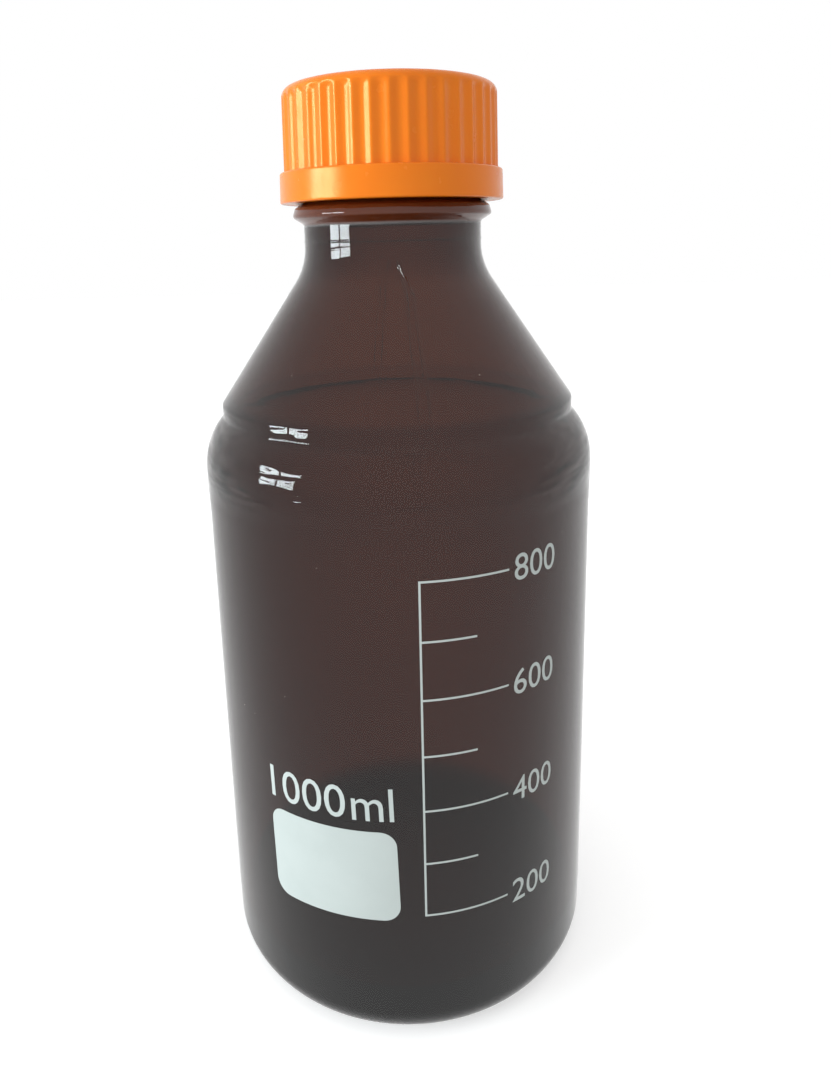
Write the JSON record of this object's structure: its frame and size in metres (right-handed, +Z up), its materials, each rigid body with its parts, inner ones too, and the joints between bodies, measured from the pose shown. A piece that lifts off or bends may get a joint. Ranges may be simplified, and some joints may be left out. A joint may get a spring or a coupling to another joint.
{
  "type": "round laboratory media bottle",
  "caption": "Round amber glass laboratory bottle with a conical shoulder, a screw neck with a pouring ring, and an orange fluted screw cap with a liner.",
  "frame": {"origin": "centre of the base, on the plane the bottle stands on", "axes": "+Z up along the axis of the bottle and cap; the printed scale faces -Y and reads along +X"},
  "size_m": [0.101, 0.101, 0.2304],
  "materials": {
    "amber_glass": "clear dark amber, fire polished",
    "ring_plastic": "natural moulded plastic",
    "liner_rubber": "smooth white silicone",
    "cap_plastic": "satin moulded plastic"
  },
  "bodies": {
    "glass": {"bottle": "amber_glass", "pouring_ring": "ring_plastic"},
    "liner": {"cap_liner": "liner_rubber"},
    "cap": {"screw_cap": "cap_plastic"}
  },
  "joints": [
    {"name": "cap_rise", "type": "slide", "parent": "glass", "child": "liner", "axis": [0, 0, 1], "range_m": [0, 0.012]},
    {"name": "cap_turn", "type": "hinge", "parent": "liner", "child": "cap", "pos_m": [0, 0, 0.2284], "axis": [0, 0, 1], "range_deg": [0, 1080]}
  ],
  "couplings": [
    {"joint": "cap_rise", "follows": "cap_turn", "m_per_rad": 0.00063662}
  ]
}
